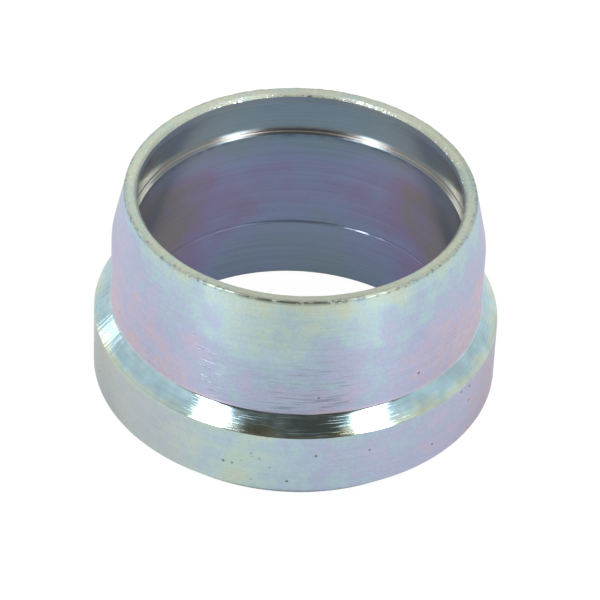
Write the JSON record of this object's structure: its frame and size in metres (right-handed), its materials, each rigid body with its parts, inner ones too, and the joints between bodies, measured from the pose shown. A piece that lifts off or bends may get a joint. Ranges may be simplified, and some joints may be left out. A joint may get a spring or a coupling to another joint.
{
  "type": "cutting ring",
  "caption": "Turned steel cutting ring with a 24 degree nose cone, a hard inner cutting edge and a rear collar, that grips a tube in a compression fitting.",
  "frame": {"origin": "centre of the rear face, on the axis of the tube", "axes": "+Z along the axis of the tube, from the rear face to the nose; the ring stands on its rear face"},
  "size_m": [0.0202, 0.0202, 0.0116],
  "materials": {
    "zinc_plated_steel": "zinc plated and passivated, pale with a faint rainbow tint, fine turning marks"
  },
  "bodies": {
    "root": {"cutting_ring": "zinc_plated_steel"}
  },
  "joints": []
}
